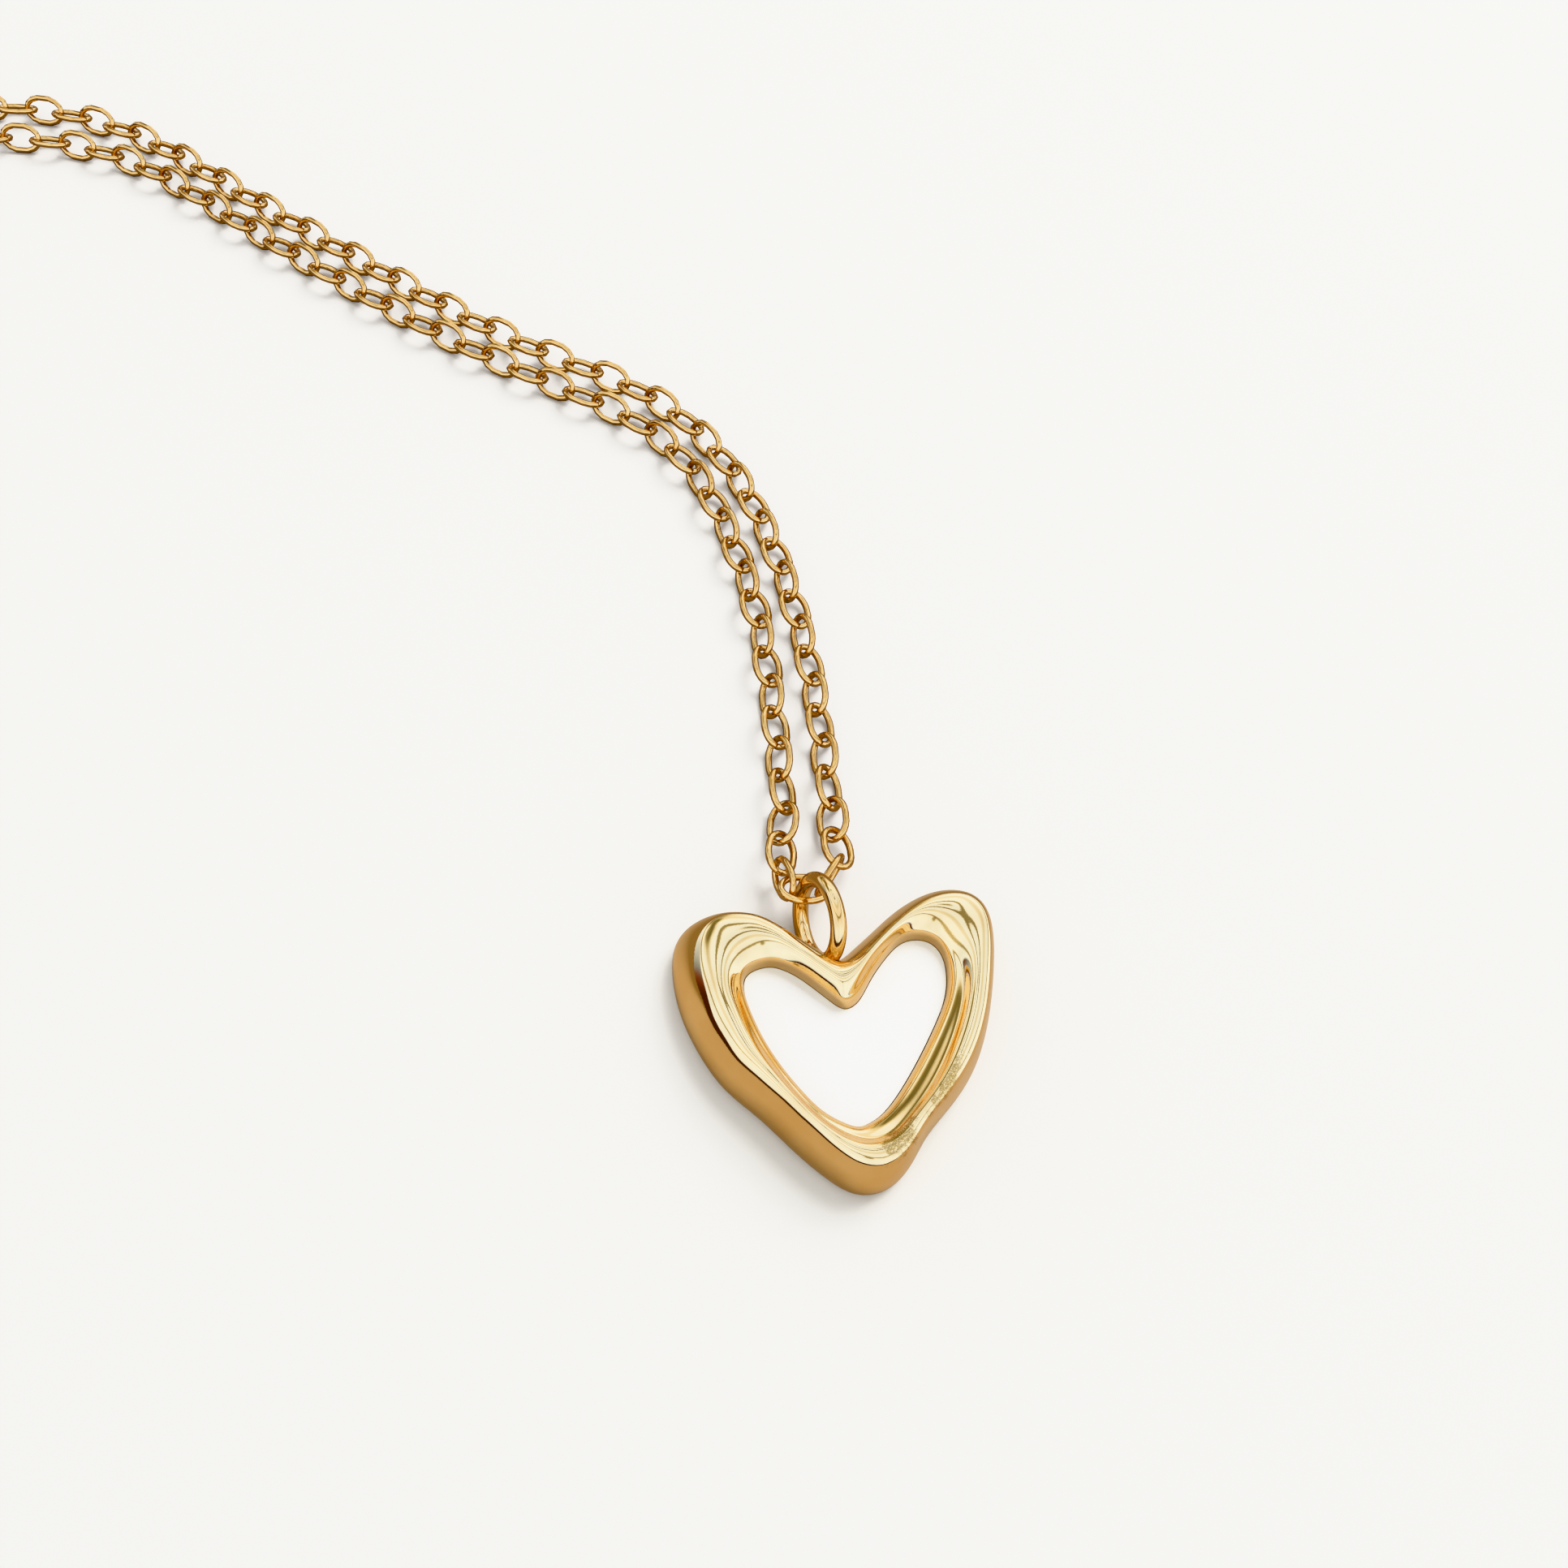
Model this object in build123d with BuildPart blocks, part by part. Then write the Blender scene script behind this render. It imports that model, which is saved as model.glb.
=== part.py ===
from build123d import *
from collections import namedtuple
import math
import os

# Heart pendant on a fine cable chain, lying on a flat surface, in millimetres.
# The origin is the middle of the pendant's flat back, +Y runs from its tip to its jump ring,
# and +Z is up, out of the pendant's front.

# Heart frame: a puffy cast rim round a closed back plate
heart_width = 16.9
heart_height = 15.3
heart_thickness = 3.6
back_plate = 1.1
rim_height = 2.95
back_inset = 1.0
edge_bulge = 0.06

# Window of the frame, which the inlay fills
window_width = 10.4
window_height = 9.5
window_shift = 0.25

# Inlay: a flat plate set on the back plate
inlay_thickness = 0.75
inlay_gap = 0.05

# Jump ring, soldered into the cleft at its foot, turned and leaning a little to the side
ring_wire = 0.85
ring_diameter = 4.2
ring_sink = 0.16
ring_side = -0.26
ring_turn = 11.0
ring_lean = 18.0

# Cable chain: oval links of round wire, each through the next
link_length = 3.0
link_width = 2.05
link_wire = 0.38
link_play = 0.15

# Rolls of the links about the chain's line: even at the ring, then one flat and one on edge
even_roll = 45.0
flat_roll = 25.0
edge_roll = 60.0
flat_drop = 0.1
settle_links = 6

# Clasp: a plain rounded block with a flat eye at each end
clasp_length = 10.6
clasp_width = 3.2
clasp_height = 2.0
clasp_round = 0.5
eye_hole = 1.4
eye_rim = 0.6
eye_thickness = 0.4
eye_neck = 0.35
eye_play = 0.2
clasp_place = (-132.7, 67.3)
clasp_heading = 90.0

# Steps of the smooth curves: between two rows of the heart, two section points and two route points
ROW_STEPS = 3
SECTION_STEPS = 2
ROUTE_STEPS = 24

# Outline of the heart, a row for each place round it, from the cleft over the right lobe.
# edge_x and edge_y are the outer edge as shares of half the heart's width and height.
# window_x and window_y are the window as shares of half its own width and height.
# shoulder and rim say how far across the band its front face starts and ends.
Station = namedtuple("Station", "edge_x edge_y window_x window_y shoulder rim")
OUTLINE = [
    (0.01, 0.56, -0.03, 0.29, 0.36, 0.92),
    (0.12, 0.64, 0.11, 0.37, 0.42, 0.84),
    (0.25, 0.75, 0.25, 0.58, 0.48, 0.82),
    (0.42, 0.89, 0.41, 0.79, 0.52, 0.88),
    (0.62, 0.99, 0.59, 0.96, 0.48, 0.94),
    (0.80, 1.00, 0.77, 1.00, 0.36, 0.96),
    (0.94, 0.92, 0.92, 0.93, 0.26, 0.96),
    (1.00, 0.77, 1.00, 0.76, 0.21, 0.91),
    (0.99, 0.55, 1.00, 0.52, 0.18, 0.78),
    (0.93, 0.26, 0.93, 0.26, 0.16, 0.66),
    (0.84, -0.04, 0.78, -0.03, 0.14, 0.60),
    (0.71, -0.31, 0.57, -0.37, 0.13, 0.56),
    (0.54, -0.52, 0.35, -0.68, 0.11, 0.50),
    (0.38, -0.69, 0.17, -0.88, 0.11, 0.48),
    (0.26, -0.86, 0.03, -0.97, 0.13, 0.54),
    (0.11, -0.99, -0.09, -1.00, 0.19, 0.66),
    (-0.07, -1.00, -0.21, -0.95, 0.30, 0.72),
    (-0.23, -0.88, -0.37, -0.83, 0.38, 0.73),
    (-0.40, -0.68, -0.52, -0.64, 0.41, 0.74),
    (-0.58, -0.44, -0.69, -0.35, 0.40, 0.78),
    (-0.76, -0.22, -0.84, -0.02, 0.39, 0.83),
    (-0.89, 0.04, -0.94, 0.30, 0.40, 0.87),
    (-0.97, 0.30, -0.99, 0.55, 0.42, 0.90),
    (-1.00, 0.56, -0.98, 0.72, 0.42, 0.93),
    (-0.97, 0.80, -0.91, 0.81, 0.38, 0.95),
    (-0.85, 0.94, -0.80, 0.85, 0.30, 0.96),
    (-0.67, 0.98, -0.69, 0.85, 0.25, 0.96),
    (-0.48, 0.94, -0.58, 0.80, 0.26, 0.96),
    (-0.32, 0.83, -0.45, 0.70, 0.31, 0.96),
    (-0.16, 0.69, -0.29, 0.53, 0.35, 0.95),
    (-0.06, 0.60, -0.15, 0.37, 0.36, 0.94),
]

# Section of the frame from its flat back over the front to the window, as pulling points.
# Back rows: share of back_inset inside the edge, and share of heart_thickness.
BACK = [(1.50, 0.00), (1.00, 0.00), (0.45, 0.00), (0.00, 0.09)]
# Wall rows: share of the way from the edge to the shoulder, and share of heart_thickness.
WALL = [(0.02, 0.33), (0.34, 0.62), (0.78, 0.84), (1.04, 0.93)]
# Face rows: share of the way from the shoulder to the rim, and share of heart_thickness.
FACE = [(0.30, 0.98), (0.62, 0.98), (0.88, 0.88)]
# Well rows: share of the way from the rim to the window, and share of the well's depth.
WELL = [
    (0.00, 1.00),
    (0.35, 0.96),
    (0.86, 0.80),
    (1.00, 0.44),
    (1.00, 0.20),
    (1.00, 0.00),
    (1.00, -0.20),
]

# The seven links next to the jump ring: middle of the link, measured in x and y from the top
# of the ring's wire and in z from the surface, heading and slope of its long axis, and its roll.
LinkPlace = namedtuple("LinkPlace", "x y z heading slope roll")
RIGHT_RING_LINKS = [
    (-0.10, -0.10, 2.20, 185, 17, 14),
    (1.40, 0.80, 1.70, 53, -10, -87),
    (2.10, 2.60, 1.30, 89, -13, 29),
    (2.15, 4.60, 0.90, 88, -5, -34),
]
LEFT_RING_LINKS = [
    (-1.05, 0.80, 1.85, 103, -25, -67),
    (-0.95, 2.65, 1.20, 78, -12, 34),
    (-0.60, 4.65, 0.90, 80, -7, -34),
]

# Route of the two strands on the surface, from the links at the ring to the clasp's two eyes,
# measured from the top of the ring's wire
LEFT_ROUTE = [
    (-0.4, 5.65), (-0.2, 13.3), (-0.4, 19.3), (-1.4, 25.3), (-3.3, 30.9), (-6.6, 35.1),
    (-11.4, 38.6), (-17.8, 43.2), (-25.4, 49.6), (-32.6, 56.3), (-39.7, 62.6),
    (-47.4, 65.9), (-57.0, 65.6), (-70.9, 59.3), (-84.4, 48.6), (-100.9, 39.8),
    (-117.4, 39.8), (-128.7, 49.3),
]
RIGHT_ROUTE = [
    (2.2, 5.65), (2.3, 13.3), (1.9, 19.3), (0.9, 25.3), (-1.1, 31.2), (-4.9, 36.6),
    (-10.2, 40.4), (-16.5, 44.9), (-23.9, 51.3), (-31.2, 57.9), (-38.3, 64.5),
    (-44.6, 68.3), (-51.4, 69.8), (-59.9, 71.0), (-71.9, 77.6), (-85.4, 88.1),
    (-101.9, 95.8), (-118.4, 95.3), (-129.7, 85.3),
]


def blend(a, b, share):
    """The point at a share of the way from a to b."""
    return a + (b - a) * share


def spline_point(near, t):
    """The point at t on the stretch of a cubic B-spline between four neighbouring pulling points."""
    weights = (
        (1 - t) ** 3 / 6,
        (3 * t**3 - 6 * t**2 + 4) / 6,
        (-3 * t**3 + 3 * t**2 + 3 * t + 1) / 6,
        t**3 / 6,
    )
    return [sum(w * v for w, v in zip(weights, values)) for values in zip(*near)]


def pulled(points, closed, rounds=60):
    """Pulling points whose B-spline passes through the given points."""
    pull = [list(point) for point in points]
    count = len(points)
    inner = range(count) if closed else range(1, count - 1)
    for _ in range(rounds):
        last = [list(point) for point in pull]
        for i in inner:
            for axis in range(len(points[0])):
                here = (last[i - 1][axis] + 4 * last[i][axis] + last[(i + 1) % count][axis]) / 6
                pull[i][axis] = last[i][axis] + points[i][axis] - here
    return pull


def spline_points(pull, steps):
    """Points on the B-spline of a list of pulling points, with its first and last ones unused."""
    points = []
    for i in range(1, len(pull) - 2):
        for step in range(steps):
            points.append(spline_point(pull[i - 1:i + 3], step / steps))
    points.append(spline_point(pull[-4:], 1.0))
    return points


def closed_spline(points, steps):
    """A closed smooth curve through the points, without its repeated last point."""
    pull = pulled(points, closed=True)
    return spline_points([pull[-1], *pull, pull[0], pull[1]], steps)[:-1]


def open_spline(points, steps):
    """An open smooth curve through the points, from the first to the last."""
    pull = pulled(points, closed=False)
    before = [2 * a - b for a, b in zip(pull[0], pull[1])]
    after = [2 * a - b for a, b in zip(pull[-1], pull[-2])]
    return spline_points([before, *pull, after], steps)


def section(station):
    """The frame's section at one station: points from the flat back over the front to the seat."""
    edge = Vector(station.edge_x * heart_width / 2, station.edge_y * heart_height / 2)
    window = Vector(station.window_x * window_width / 2, station.window_y * window_height / 2)
    window += Vector(window_shift, 0)
    inward = (window - edge).normalized()
    band = (window - edge).length
    well = rim_height - back_plate
    pull = []
    for share, height in BACK:
        pull.append((back_inset * share, heart_thickness * height))
    for share, height in WALL:
        pull.append((band * station.shoulder * share - edge_bulge, heart_thickness * height))
    for share, height in FACE:
        pull.append((band * blend(station.shoulder, station.rim, share), heart_thickness * height))
    for share, height in WELL:
        pull.append((band * blend(station.rim, 1.0, share), back_plate + well * height))
    points = []
    for across, height in spline_points(pull, SECTION_STEPS):
        point = edge + inward * across
        points.append(Vector(point.X, point.Y, height))
    return points


def lofted_solid(rings):
    """A closed solid over rings of points, from a flat back to a flat seat."""
    faces = [Face(Wire.make_polygon(rings[0])), Face(Wire.make_polygon(rings[-1]))]
    count = len(rings[0])
    for low, high in zip(rings, rings[1:]):
        for i in range(count):
            j = (i + 1) % count
            faces.append(Face(Wire.make_polygon([low[i], low[j], high[j]])))
            faces.append(Face(Wire.make_polygon([low[i], high[j], high[i]])))
    return Solid(Shell(faces))


def link_location(place):
    """Where a link lies, from its place measured from the top of the ring's wire."""
    turn = Rotation(0, 0, place.heading) * Rotation(0, -place.slope, 0) * Rotation(place.roll, 0, 0)
    return Location((ring_top.X + place.x, ring_top.Y + place.y, place.z)) * turn


def resting_height(roll):
    """Height of the middle of a link that rests on the surface with its long axis level."""
    return link_half_cross * math.sin(math.radians(roll)) + link_wire / 2


def strand_places(route):
    """Places of the links of one strand, evenly spread along its route."""
    curve = [Vector(*point) for point in open_spline(route, ROUTE_STEPS)]
    reach = [0.0]
    for a, b in zip(curve, curve[1:]):
        reach.append(reach[-1] + (b - a).length)
    count = 2 * round(reach[-1] / link_pitch / 2)
    joints = []
    span = 0
    for k in range(count + 1):
        along = reach[-1] * k / count
        while span < len(curve) - 2 and reach[span + 1] < along:
            span += 1
        share = (along - reach[span]) / (reach[span + 1] - reach[span])
        joints.append(blend(curve[span], curve[span + 1], share))
    places = []
    for k, (a, b) in enumerate(zip(joints, joints[1:])):
        settled = min(1.0, k / settle_links)
        leaning = blend(even_roll, edge_roll, settled)
        height = resting_height(leaning)
        if k % 2 == 0:
            roll = blend(even_roll, flat_roll, settled)
            height -= flat_drop * settled
        else:
            roll = -leaning
        middle = (a + b) / 2
        heading = math.degrees(math.atan2(b.Y - a.Y, b.X - a.X))
        places.append(LinkPlace(middle.X, middle.Y, height, heading, 0.0, roll))
    return places


# Sizes that follow from the ones above
stations = [Station(*row) for row in closed_spline(OUTLINE, ROW_STEPS)]
sections = [section(station) for station in stations]
frame_rings = [list(ring) for ring in zip(*sections)]
inlay_base = back_plate + inlay_gap
cleft = heart_height / 2 * Station(*OUTLINE[0]).edge_y
ring_foot = Vector(ring_side, cleft - ring_sink)
ring_along = Vector(0, 1).rotate(Axis.Z, ring_turn)
ring_across = Vector(1, 0).rotate(Axis.Z, ring_turn)
ring_middle = ring_foot + ring_along * ring_diameter / 2
ring_top = ring_foot + ring_along * ring_diameter
ring_height = ring_diameter / 2 * math.cos(math.radians(ring_lean)) + ring_wire / 2
ring_normal = ring_across * math.cos(math.radians(ring_lean))
ring_normal -= Vector(0, 0, math.sin(math.radians(ring_lean)))
link_pitch = link_length - 2 * link_wire - link_play
link_half_cross = (link_width - link_wire) / 2
link_half_straight = (link_length - link_width) / 2
eye_radius = eye_hole / 2 + eye_rim
eye_offset = clasp_length / 2 - eye_radius
joint_offset = eye_offset + eye_hole / 2 - eye_play
clasp_body = 2 * (eye_offset - eye_hole / 2 - eye_neck)

# Both strands end at the clasp's eyes; the clasp too is placed from the top of the ring's wire
clasp_axis = Vector(1, 0).rotate(Axis.Z, clasp_heading)
clasp_middle = Vector(*clasp_place)
left_end = clasp_middle - clasp_axis * joint_offset
right_end = clasp_middle + clasp_axis * joint_offset
left_links = [LinkPlace(*row) for row in LEFT_RING_LINKS]
left_links += strand_places([*LEFT_ROUTE, (left_end.X, left_end.Y)])
right_links = [LinkPlace(*row) for row in RIGHT_RING_LINKS]
right_links += strand_places([*RIGHT_ROUTE, (right_end.X, right_end.Y)])

# Heart frame, with the jump ring soldered into its cleft
ring_plane = Plane(
    origin=ring_middle + Vector(0, 0, ring_height),
    x_dir=ring_along,
    z_dir=ring_normal,
)
with BuildPart() as heart_frame:
    add(lofted_solid(frame_rings))
    with Locations(ring_plane):
        Torus(ring_diameter / 2, ring_wire / 2)

# Inlay: the window's outline, a small gap inside the frame
with BuildPart() as inlay:
    with BuildSketch(Plane.XY.offset(inlay_base)):
        with BuildLine():
            Polyline(*[(point.X, point.Y) for point in frame_rings[-1]], close=True)
        make_face()
        offset(amount=-inlay_gap, kind=Kind.INTERSECTION)
    extrude(amount=inlay_thickness)

# One link of the chain: round wire bent to an oval, with its long axis along X
with BuildPart() as link:
    with BuildLine() as link_line:
        Line((-link_half_straight, link_half_cross), (link_half_straight, link_half_cross))
        CenterArc((link_half_straight, 0), link_half_cross, 90, -180)
        Line((link_half_straight, -link_half_cross), (-link_half_straight, -link_half_cross))
        CenterArc((-link_half_straight, 0), link_half_cross, -90, -180)
    with BuildSketch(Plane(origin=(0, link_half_cross, 0), z_dir=(1, 0, 0))):
        Circle(link_wire / 2)
    sweep(path=link_line.wire())

# The two strands of the chain
with BuildPart() as chain_left:
    with Locations(*[link_location(place) for place in left_links]):
        add(link.part)

with BuildPart() as chain_right:
    with Locations(*[link_location(place) for place in right_links]):
        add(link.part)

# Clasp: a rounded block on the surface, and a flat eye at each end at the chain's height
clasp_plane = Plane(
    origin=ring_top + clasp_middle,
    x_dir=clasp_axis,
    z_dir=(0, 0, 1),
)
eye_base = resting_height(edge_roll) - eye_thickness / 2
with BuildPart() as clasp:
    with BuildSketch(clasp_plane):
        SlotOverall(clasp_body, clasp_width)
    extrude(amount=clasp_height)
    fillet(clasp.edges().filter_by(GeomType.CIRCLE), clasp_round)
    with BuildSketch(clasp_plane.offset(eye_base)):
        with Locations((-eye_offset, 0), (eye_offset, 0)):
            Circle(eye_radius)
        Rectangle(2 * eye_offset, 2 * eye_neck + eye_hole)
    extrude(amount=eye_thickness)
    with BuildSketch(clasp_plane.offset(eye_base)):
        with Locations((-eye_offset, 0), (eye_offset, 0)):
            Circle(eye_hole / 2)
    extrude(amount=eye_thickness, mode=Mode.SUBTRACT)

os.makedirs("parts", exist_ok=True)

heart_frame.part.label = "heart_frame"
export_step(heart_frame.part, "parts/heart_frame.step")

inlay.part.label = "inlay"
export_step(inlay.part, "parts/inlay.step")

chain_left.part.label = "chain_left"
export_step(chain_left.part, "parts/chain_left.step")

chain_right.part.label = "chain_right"
export_step(chain_right.part, "parts/chain_right.step")

clasp.part.label = "clasp"
export_step(clasp.part, "parts/clasp.step")
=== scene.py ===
"""Heart pendant necklace: a puffy gold heart with a white inlay and a soldered jump ring, on a fine
cable chain that lies in a closed loop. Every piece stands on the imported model's frame, in metres.
"""

import math

import bmesh
import bpy
import numpy as np
from bpy.props import FloatProperty, FloatVectorProperty, IntProperty, PointerProperty
from mathutils import Matrix, Vector


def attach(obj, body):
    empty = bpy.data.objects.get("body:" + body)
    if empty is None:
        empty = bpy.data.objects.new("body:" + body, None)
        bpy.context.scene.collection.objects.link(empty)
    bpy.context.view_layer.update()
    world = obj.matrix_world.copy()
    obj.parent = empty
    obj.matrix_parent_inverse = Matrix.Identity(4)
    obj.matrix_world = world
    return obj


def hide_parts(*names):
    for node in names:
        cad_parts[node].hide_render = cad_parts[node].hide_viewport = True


bl_info = {
    "name": "Heart Pendant Necklace",
    "version": (1, 0, 0),
    "blender": (4, 5, 0),
    "location": "View3D > Sidebar > Necklace",
    "description": "Makes a puffy heart pendant with a white inlay on a fine cable chain",
    "category": "Add Mesh",
}

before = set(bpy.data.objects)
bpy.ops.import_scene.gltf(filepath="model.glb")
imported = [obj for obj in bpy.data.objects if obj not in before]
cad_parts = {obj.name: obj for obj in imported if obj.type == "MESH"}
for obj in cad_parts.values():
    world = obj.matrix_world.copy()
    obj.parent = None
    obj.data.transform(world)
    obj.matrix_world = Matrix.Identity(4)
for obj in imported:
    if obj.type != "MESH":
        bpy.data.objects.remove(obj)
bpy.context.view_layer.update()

MM = 0.001

# Outline of the heart, a row for each place round it, from the cleft over the right lobe:
# outer edge x and y as shares of half the heart's width and height, window x and y as shares of
# half its own width and height, and how far across the band its front face starts and ends
OUTLINE = [
    (0.01, 0.56, -0.03, 0.29, 0.36, 0.92),
    (0.12, 0.64, 0.11, 0.37, 0.42, 0.84),
    (0.25, 0.75, 0.25, 0.58, 0.48, 0.82),
    (0.42, 0.89, 0.41, 0.79, 0.52, 0.88),
    (0.62, 0.99, 0.59, 0.96, 0.48, 0.94),
    (0.80, 1.00, 0.77, 1.00, 0.36, 0.96),
    (0.94, 0.92, 0.92, 0.93, 0.26, 0.96),
    (1.00, 0.77, 1.00, 0.76, 0.21, 0.91),
    (0.99, 0.55, 1.00, 0.52, 0.18, 0.78),
    (0.93, 0.26, 0.93, 0.26, 0.16, 0.66),
    (0.84, -0.04, 0.78, -0.03, 0.14, 0.60),
    (0.71, -0.31, 0.57, -0.37, 0.13, 0.56),
    (0.54, -0.52, 0.35, -0.68, 0.11, 0.50),
    (0.38, -0.69, 0.17, -0.88, 0.11, 0.48),
    (0.26, -0.86, 0.03, -0.97, 0.13, 0.54),
    (0.11, -0.99, -0.09, -1.00, 0.19, 0.66),
    (-0.07, -1.00, -0.21, -0.95, 0.30, 0.72),
    (-0.23, -0.88, -0.37, -0.83, 0.38, 0.73),
    (-0.40, -0.68, -0.52, -0.64, 0.41, 0.74),
    (-0.58, -0.44, -0.69, -0.35, 0.40, 0.78),
    (-0.76, -0.22, -0.84, -0.02, 0.39, 0.83),
    (-0.89, 0.04, -0.94, 0.30, 0.40, 0.87),
    (-0.97, 0.30, -0.99, 0.55, 0.42, 0.90),
    (-1.00, 0.56, -0.98, 0.72, 0.42, 0.93),
    (-0.97, 0.80, -0.91, 0.81, 0.38, 0.95),
    (-0.85, 0.94, -0.80, 0.85, 0.30, 0.96),
    (-0.67, 0.98, -0.69, 0.85, 0.25, 0.96),
    (-0.48, 0.94, -0.58, 0.80, 0.26, 0.96),
    (-0.32, 0.83, -0.45, 0.70, 0.31, 0.96),
    (-0.16, 0.69, -0.29, 0.53, 0.35, 0.95),
    (-0.06, 0.60, -0.15, 0.37, 0.36, 0.94),
]

# Section of the band as pulling points, from the flat back over the front to the seat.
# Back: share of the back's inset inside the edge, and share of the heart's thickness.
BACK = [(1.50, 0.00), (1.00, 0.00), (0.45, 0.00), (0.00, 0.09)]
# Wall: share of the way from the edge to the front face, and share of the thickness.
WALL = [(0.02, 0.33), (0.34, 0.62), (0.78, 0.84), (1.04, 0.93)]
# Face: share of the way over the front face to the rim, and share of the thickness.
FACE = [(0.30, 0.98), (0.62, 0.98), (0.88, 0.88)]
# Well: share of the way from the rim to the window, and share of the well's depth.
WELL = [
    (0.00, 1.00), (0.35, 0.96), (0.86, 0.80), (1.00, 0.44), (1.00, 0.20), (1.00, 0.00),
    (1.00, -0.20),
]

# Links next to the jump ring: x and y from the top of the ring's wire and z from the surface in
# millimetres, then heading, slope and roll in degrees
RIGHT_RING_LINKS = [
    (-0.10, -0.10, 2.20, 185, 17, 14),
    (1.40, 0.80, 1.70, 53, -10, -87),
    (2.10, 2.60, 1.30, 89, -13, 29),
    (2.15, 4.60, 0.90, 88, -5, -34),
]
LEFT_RING_LINKS = [
    (-1.05, 0.80, 1.85, 103, -25, -67),
    (-0.95, 2.65, 1.20, 78, -12, 34),
    (-0.60, 4.65, 0.90, 80, -7, -34),
]

# Routes of the two strands from there to the clasp, in millimetres from the same place
LEFT_ROUTE = [
    (-0.4, 5.65), (-0.2, 13.3), (-0.4, 19.3), (-1.4, 25.3), (-3.3, 30.9), (-6.6, 35.1),
    (-11.4, 38.6), (-17.8, 43.2), (-25.4, 49.6), (-32.6, 56.3), (-39.7, 62.6),
    (-47.4, 65.9), (-57.0, 65.6), (-70.9, 59.3), (-84.4, 48.6), (-100.9, 39.8),
    (-117.4, 39.8), (-128.7, 49.3),
]
RIGHT_ROUTE = [
    (2.2, 5.65), (2.3, 13.3), (1.9, 19.3), (0.9, 25.3), (-1.1, 31.2), (-4.9, 36.6),
    (-10.2, 40.4), (-16.5, 44.9), (-23.9, 51.3), (-31.2, 57.9), (-38.3, 64.5),
    (-44.6, 68.3), (-51.4, 69.8), (-59.9, 71.0), (-71.9, 77.6), (-85.4, 88.1),
    (-101.9, 95.8), (-118.4, 95.3), (-129.7, 85.3),
]
CLASP_PLACE = (-132.7, 67.3)

# Steps of the strands' curves between two points of their routes
ROUTE_STEPS = 24

# Height on the plan of the middle point of the heart's and the inlay's flat faces, in metres
FACE_MIDDLE = -0.0005

# Long patches of the casting that were left rough: middle in millimetres, heading in degrees,
# then half their length, width and depth in millimetres
ROUGH_PATCHES = [
    (1.55, -6.0, 3.35, 50, 1.15, 0.80, 0.8),
    (4.20, -3.6, 3.45, 52, 2.30, 0.34, 0.8),
]

# Dark gaps in the lights that the gold mirrors, as rings on the sky: tilt of the middle to the
# right and to the back in degrees, radius and half width in degrees, and how much light is left
DARK_GAPS = [
    (5.6, 30.0, 0.0, 3.2, 0.25),
    (5.6, 30.0, 12.0, 2.1, 0.22),
    (5.6, 30.0, 31.0, 5.0, 0.66),
    (5.6, 30.0, 55.0, 2.8, 0.30),
    (-5.6, -30.0, 0.0, 5.0, 0.30),
    (-17.0, 74.0, 0.0, 16.0, 0.28),
    (-27.0, 44.0, 0.0, 12.0, 0.18),
    (-18.0, 60.0, 0.0, 9.0, 0.28),
]

# Tints of the mirrored lights: in the dark strip at the horizon, in the dark gaps, and the plain
# tint of the light from all round
STRIP_TINT = (1.0, 0.25, 0.12, 1.0)
GAP_TINT = (0.84, 0.80, 0.46, 1.0)
ROOM_TINT = (1.0, 0.995, 0.98, 1.0)

# Light left in the dark strip, light that the camera sees, and the side where no strip is
STRIP_LIGHT = 0.08
SEEN_LIGHT = 1.3
BRIGHT_SIDE = (0.62, 0.78, 0.0)

# Place of the large soft light, and how far the floor lies below the necklace, in metres
KEY_PLACE = (0.42, 0.34, 0.62)
FLOOR_DROP = 0.00001

# Camera: place in metres, direction to its right and forward before its roll in degrees
CAMERA_PLACE = (-0.009238, -0.027334, 0.0746)
CAMERA_RIGHT = (0.98310, -0.18305, 0.0)
CAMERA_FORWARD = (0.09291, 0.49896, -0.86163)
CAMERA_ROLL = 4.0

# Scales of the patterns in the finishes, in waves for each metre
WARM_PATCHES = 420.0
WIPE_MARKS = 2600.0
FINE_GRAIN = 16000.0
SOFT_DENTS = 1500.0
RAGGED_EDGE = 1700.0
ROUGH_SPECKS = 15000.0
ENAMEL_CLOUDS = 500.0
ENAMEL_SPECKS = 9000.0
ENAMEL_DENTS = 1800.0
FLOOR_CLOUDS = 8.0


# Sizes and colours that a user would change

def amount(name, description, default, **kind):
    """A number, with its subtype, unit and limits where it has them."""
    return FloatProperty(name=name, description=description, default=default, **kind)


def length(name, description, default, least=0.0):
    """A length in metres, shown to a hundredth of a millimetre."""
    return amount(name, description, default, min=least, precision=5, subtype="DISTANCE",
                  unit="LENGTH")


def angle(name, description, degrees):
    """An angle, given in degrees."""
    return amount(name, description, math.radians(degrees), subtype="ANGLE", unit="ROTATION")


def colour(name, description, default):
    """A colour without transparency."""
    return FloatVectorProperty(name=name, description=description, default=default,
                               min=0.0, max=1.0, size=3, subtype="COLOR")


def share(name, description, default):
    """A number from nothing to all."""
    return amount(name, description, default, min=0.0, max=1.0, subtype="FACTOR")


def count(name, description, default):
    """A whole number of steps."""
    return IntProperty(name=name, description=description, default=default, min=2)


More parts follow.
